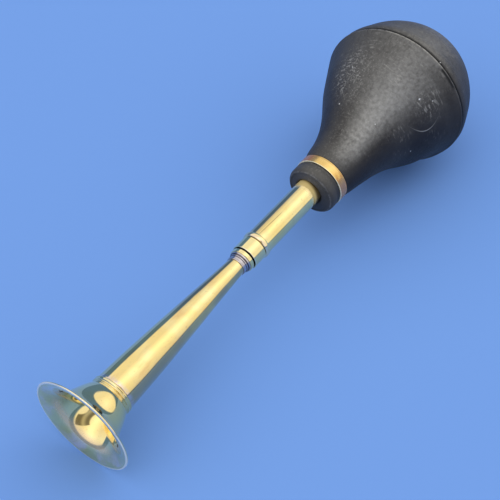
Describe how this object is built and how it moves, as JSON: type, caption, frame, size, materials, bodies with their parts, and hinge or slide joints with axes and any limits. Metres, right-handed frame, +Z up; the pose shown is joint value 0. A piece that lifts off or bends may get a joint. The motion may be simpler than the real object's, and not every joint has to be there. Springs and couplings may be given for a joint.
{
  "type": "bulb horn",
  "caption": "Straight brass bulb horn for a car: spun bell, tapering trumpet, screw coupling over a reed, and a rubber bulb that is squeezed.",
  "frame": {"origin": "on the surface that the horn lies on, under the middle of its box", "axes": "+X along the horn from the bell's mouth to the bulb, +Z up; the horn lies as in the picture, its axis climbing 3.1 degrees to the bulb"},
  "size_m": [0.4012, 0.1116, 0.111],
  "materials": {
    "polished_brass": "polished and lacquered, lightly aged",
    "silvery_collar": "nickelled, worn bright",
    "clip_brass": "warm, slightly tarnished",
    "reed_brass": "plain, as machined",
    "screw_steel": "plain steel",
    "washer_leather": "oiled",
    "bulb_rubber": "matt black, dusty with a grey bloom"
  },
  "bodies": {
    "trumpet": {"bell_flare": "polished_brass", "rim_wire": "polished_brass", "joint_band": "polished_brass", "trumpet_cone": "polished_brass", "stepped_collar": "silvery_collar", "collar_ring": "polished_brass", "reed_plug": "reed_brass", "reed_shallot": "reed_brass", "reed_clamp": "reed_brass", "reed_screws": "screw_steel", "sealing_washer": "washer_leather"},
    "tongue": {"reed_tongue": "reed_brass"},
    "tube": {"swivel_tail": "reed_brass", "tube_bead": "polished_brass", "bulb_tube": "polished_brass", "neck_band": "clip_brass", "bulb_front": "bulb_rubber"},
    "nut": {"coupling_nut": "polished_brass"},
    "bulb_back": {"bulb_rear": "bulb_rubber"}
  },
  "joints": [
    {"name": "nut_turn", "type": "hinge", "parent": "tube", "child": "nut", "pos_m": [-0.03106, 0, 0.04553], "axis": [0.9985, 0, 0.0549], "range_deg": [0, 2345]},
    {"name": "tube_draw", "type": "slide", "parent": "trumpet", "child": "tube", "axis": [0.9985, 0, 0.0549], "range_m": [0, 0.0065]},
    {"name": "bulb_squeeze", "type": "slide", "parent": "tube", "child": "bulb_back", "axis": [-0.9985, 0, -0.0549], "range_m": [0, 0.025], "stiffness_N_per_m": 500, "deforming": ["bulb_front"]},
    {"name": "reed_beat", "type": "hinge", "parent": "trumpet", "child": "tongue", "pos_m": [-0.02281, 0, 0.04706], "axis": [0, 1, 0], "range_deg": [-1.5, 1.8], "stiffness_Nm_per_rad": 0.02}
  ],
  "couplings": [
    {"joint": "nut_turn", "follows": "tube_draw", "rad_per_m": 6283.2}
  ]
}
